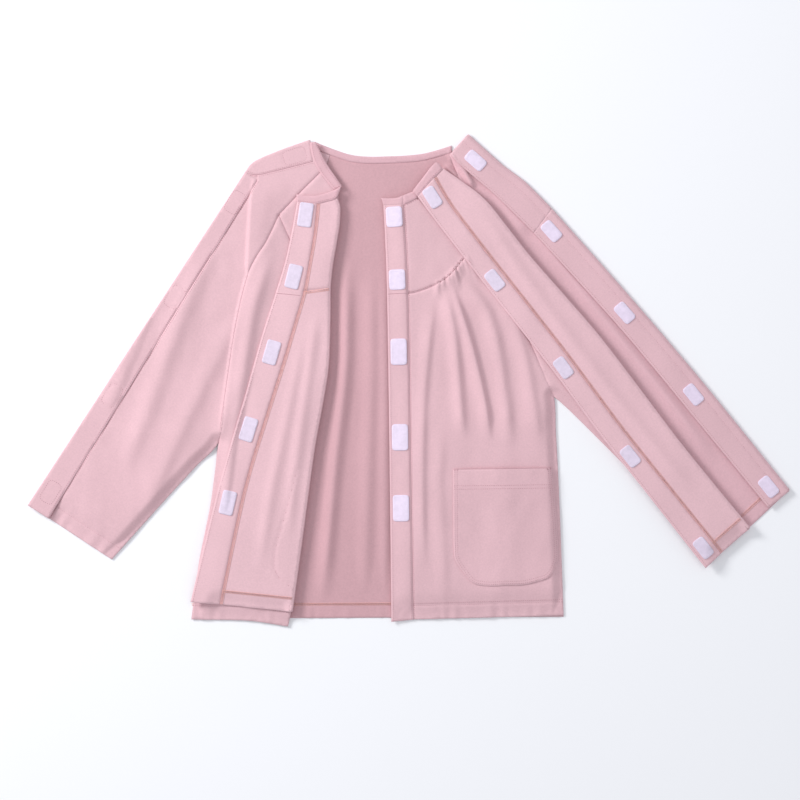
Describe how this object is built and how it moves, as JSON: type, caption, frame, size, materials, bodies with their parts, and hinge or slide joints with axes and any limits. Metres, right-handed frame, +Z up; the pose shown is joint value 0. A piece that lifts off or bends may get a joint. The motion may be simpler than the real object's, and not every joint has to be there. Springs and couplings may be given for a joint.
{
  "type": "patient gown",
  "caption": "Hip-length knit care gown with raglan sleeves, open down the front and along both sleeves, closed by hook-and-loop patches on plackets, with patch pockets.",
  "frame": {"origin": "middle of the gown's outline, on the surface it lies on", "axes": "+Z up from the surface, +Y towards the neck, +X towards the wearer's left cuff"},
  "size_m": [1.1374, 0.7345, 0.0162],
  "materials": {
    "outer_knit": "soft cotton knit, matte",
    "placket_knit": "doubled cotton knit, matte",
    "band_knit": "folded knit band, matte",
    "hook_patch": "nylon hook tape, slightly glossy",
    "loop_patch": "brushed nylon loop tape, matte"
  },
  "bodies": {
    "root": {"back_neck_band": "band_knit", "back_panel": "outer_knit", "left_front_neck_band": "band_knit", "left_front_panel": "outer_knit", "left_front_yoke": "outer_knit", "left_pocket": "outer_knit", "left_sleeve_back": "outer_knit", "left_sleeve_front": "outer_knit", "right_front_panel": "outer_knit", "right_front_yoke": "outer_knit", "right_pocket": "outer_knit", "right_shoulder_loop_patch_1": "loop_patch", "right_shoulder_under_placket": "placket_knit", "right_sleeve_back": "outer_knit", "right_sleeve_front": "outer_knit", "right_sleeve_loop_patch_1": "loop_patch", "right_sleeve_loop_patch_2": "loop_patch", "right_sleeve_loop_patch_3": "loop_patch", "right_sleeve_loop_patch_4": "loop_patch", "right_sleeve_neck_band": "band_knit", "right_sleeve_under_placket": "placket_knit"},
    "right_front_flap": {"right_front_flap_panel": "outer_knit", "right_front_flap_yoke": "outer_knit", "right_front_hook_patch_1": "hook_patch", "right_front_hook_patch_2": "hook_patch", "right_front_hook_patch_3": "hook_patch", "right_front_hook_patch_4": "hook_patch", "right_front_hook_patch_5": "hook_patch", "right_front_neck_band": "band_knit", "right_front_placket": "placket_knit", "right_pocket_flap_half": "outer_knit"},
    "left_front_edge": {"left_front_loop_patch_1": "loop_patch", "left_front_loop_patch_2": "loop_patch", "left_front_loop_patch_3": "loop_patch", "left_front_loop_patch_4": "loop_patch", "left_front_loop_patch_5": "loop_patch", "left_front_placket": "placket_knit", "left_front_placket_neck_band": "band_knit"},
    "left_sleeve_flap": {"left_sleeve_front_flap": "outer_knit", "left_sleeve_front_placket": "placket_knit", "left_sleeve_hook_patch_1": "hook_patch", "left_sleeve_hook_patch_2": "hook_patch", "left_sleeve_hook_patch_3": "hook_patch", "left_sleeve_hook_patch_4": "hook_patch", "left_sleeve_hook_patch_5": "hook_patch", "left_sleeve_neck_band": "band_knit"},
    "left_shoulder_back_edge": {"left_shoulder_back_loop_patch_1": "loop_patch", "left_shoulder_back_placket": "placket_knit"},
    "left_sleeve_back_edge": {"left_sleeve_back_loop_patch_1": "loop_patch", "left_sleeve_back_loop_patch_2": "loop_patch", "left_sleeve_back_loop_patch_3": "loop_patch", "left_sleeve_back_loop_patch_4": "loop_patch", "left_sleeve_back_placket": "placket_knit"},
    "right_shoulder_closure": {"right_shoulder_hook_patch_1": "hook_patch", "right_shoulder_top_placket": "placket_knit"},
    "right_sleeve_closure": {"right_sleeve_hook_patch_1": "hook_patch", "right_sleeve_hook_patch_2": "hook_patch", "right_sleeve_hook_patch_3": "hook_patch", "right_sleeve_hook_patch_4": "hook_patch", "right_sleeve_top_placket": "placket_knit"}
  },
  "joints": [
    {"name": "right_front_fold", "type": "hinge", "parent": "root", "child": "right_front_flap", "pos_m": [-0.1258, -0.03219, 0.0109], "axis": [0.1106, 0.9939, 0], "range_deg": [0, 170]},
    {"name": "left_front_placket_fold", "type": "hinge", "parent": "root", "child": "left_front_edge", "pos_m": [0.00526, -0.04636, 0.0106], "axis": [-0.0241, 0.9997, 0], "range_deg": [0, 135]},
    {"name": "left_sleeve_front_fold", "type": "hinge", "parent": "root", "child": "left_sleeve_flap", "pos_m": [0.2948, 0.06058, 0.0109], "axis": [-0.6497, 0.7602, 0], "range_deg": [0, 150]},
    {"name": "left_shoulder_back_fold", "type": "hinge", "parent": "root", "child": "left_shoulder_back_edge", "pos_m": [0.15403, 0.31571, 0.0036], "axis": [-0.7463, 0.6657, 0], "range_deg": [0, 150]},
    {"name": "left_sleeve_back_fold", "type": "hinge", "parent": "root", "child": "left_sleeve_back_edge", "pos_m": [0.39618, 0.04988, 0.0036], "axis": [-0.6457, 0.7636, 0], "range_deg": [0, 150]},
    {"name": "right_shoulder_placket_peel", "type": "hinge", "parent": "root", "child": "right_shoulder_closure", "pos_m": [-0.18403, 0.31606, 0.0106], "axis": [0.9722, 0.2343, 0], "range_deg": [0, 100]},
    {"name": "right_sleeve_placket_peel", "type": "hinge", "parent": "root", "child": "right_sleeve_closure", "pos_m": [-0.3808, 0.04645, 0.0106], "axis": [0.5268, 0.85, 0], "range_deg": [0, 135]}
  ]
}
